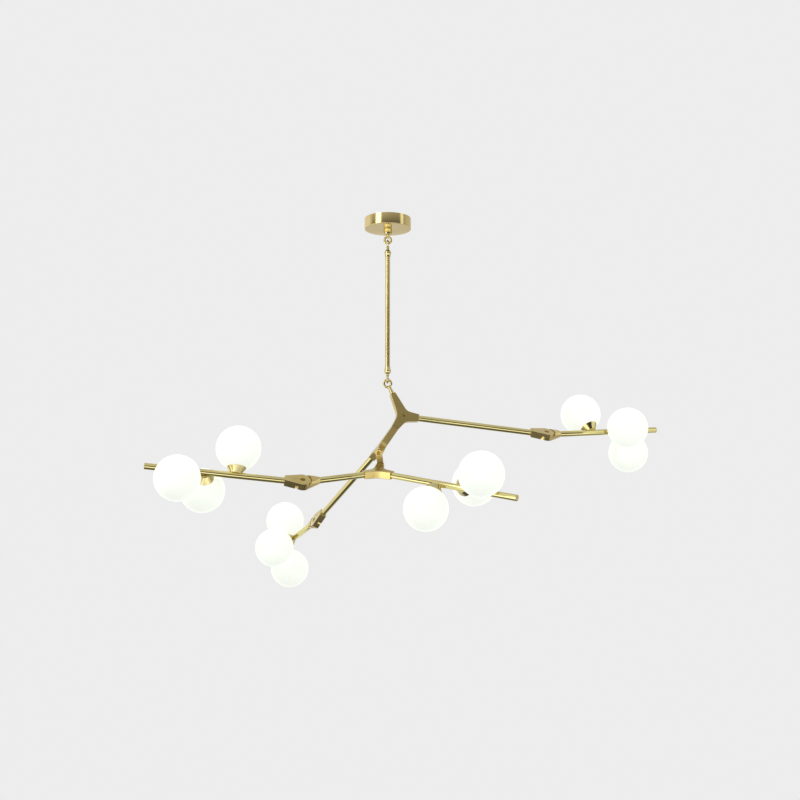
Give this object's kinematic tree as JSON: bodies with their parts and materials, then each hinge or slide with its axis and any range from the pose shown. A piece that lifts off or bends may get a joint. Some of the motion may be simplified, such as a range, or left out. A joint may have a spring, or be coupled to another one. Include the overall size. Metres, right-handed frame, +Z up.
{
  "type": "branch chandelier",
  "caption": "Hanging branch chandelier: opal glass globes on jointed brass tubes fanned from flat three-armed hubs under a ringed rod and a round canopy.",
  "frame": {"origin": "centre of the canopy in the ceiling plane", "axes": "+Z up into the ceiling, +X to the right and +Y away from a viewer who faces the lamp as in the picture"},
  "size_m": [1.4615, 1.0613, 1.0732],
  "materials": {
    "satin_brass": "satin",
    "polished_brass": "polished",
    "screw_brass": "satin",
    "opal_glass": "gloss",
    "bulb_glass": "satin",
    "lampholder_ceramic": "satin",
    "terminal_plastic": "matte",
    "zinc_steel": "satin"
  },
  "bodies": {
    "ceiling_group": {"canopy": "satin_brass", "crossbar": "zinc_steel", "nipple": "zinc_steel", "nipple_nut": "zinc_steel", "terminal_block": "terminal_plastic", "collar": "polished_brass"},
    "swivel_eye": {"top_eye": "polished_brass"},
    "hanging_rod": {"rod_top_loop": "polished_brass", "rod": "polished_brass", "rod_bottom_loop": "polished_brass"},
    "branch_frame": {"far_inner_tube": "polished_brass", "far_knuckle_inner": "satin_brass", "far_knuckle_screw": "screw_brass", "front_bulbs": "bulb_glass", "front_cups": "polished_brass", "front_end_cap": "polished_brass", "front_lampholders": "lampholder_ceramic", "front_lower_globe": "opal_glass", "front_rear_globe": "opal_glass", "front_tube": "polished_brass", "front_upper_globe": "opal_glass", "hub_and_link_screws": "screw_brass", "hub_eye": "polished_brass", "hub_lower": "satin_brass", "hub_middle": "satin_brass", "hub_upper": "satin_brass", "left_inner_tube": "polished_brass", "left_knuckle_inner": "satin_brass", "left_knuckle_screw": "screw_brass", "link_plate": "satin_brass", "right_inner_tube": "polished_brass", "right_knuckle_inner": "satin_brass", "right_knuckle_screw": "screw_brass"},
    "left_branch": {"left_bulbs": "bulb_glass", "left_cups": "polished_brass", "left_end_cap": "polished_brass", "left_front_globe": "opal_glass", "left_knuckle_outer": "satin_brass", "left_lampholders": "lampholder_ceramic", "left_lower_globe": "opal_glass", "left_outer_tube": "polished_brass", "left_upper_globe": "opal_glass"},
    "right_branch": {"right_bulbs": "bulb_glass", "right_cups": "polished_brass", "right_end_cap": "polished_brass", "right_front_globe": "opal_glass", "right_knuckle_outer": "satin_brass", "right_lampholders": "lampholder_ceramic", "right_lower_globe": "opal_glass", "right_outer_tube": "polished_brass", "right_rear_globe": "opal_glass"},
    "far_branch": {"far_bulbs": "bulb_glass", "far_cups": "polished_brass", "far_end_cap": "polished_brass", "far_knuckle_outer": "satin_brass", "far_lampholders": "lampholder_ceramic", "far_lower_globe": "opal_glass", "far_middle_globe": "opal_glass", "far_outer_tube": "polished_brass", "far_upper_globe": "opal_glass"}
  },
  "joints": [
    {"name": "eye_swivel", "type": "hinge", "parent": "ceiling_group", "child": "swivel_eye", "pos_m": [0, 0, -0.05], "axis": [0, 0, 1], "range_deg": [-180, 180]},
    {"name": "rod_swing", "type": "hinge", "parent": "swivel_eye", "child": "hanging_rod", "pos_m": [0, 0, -0.0745], "axis": [1, 0, 0], "range_deg": [-30, 30]},
    {"name": "branches_swing", "type": "hinge", "parent": "hanging_rod", "child": "branch_frame", "pos_m": [0, 0, -0.4858], "axis": [0, 1, 0], "range_deg": [-25, 25]},
    {"name": "left_knuckle", "type": "hinge", "parent": "branch_frame", "child": "left_branch", "pos_m": [-0.22353, -0.22301, -0.78981], "axis": [0.1841, -0.6483, 0.7388], "range_deg": [-39.8, 80.2]},
    {"name": "right_knuckle", "type": "hinge", "parent": "branch_frame", "child": "right_branch", "pos_m": [0.46411, 0.0884, -0.62621], "axis": [0.1915, -0.5107, 0.8381], "range_deg": [-79.7, 40.4]},
    {"name": "far_knuckle", "type": "hinge", "parent": "branch_frame", "child": "far_branch", "pos_m": [-0.2193, 0.27476, -0.87042], "axis": [-0.8645, -0.3372, 0.3728], "range_deg": [-45.5, 74.5]}
  ]
}
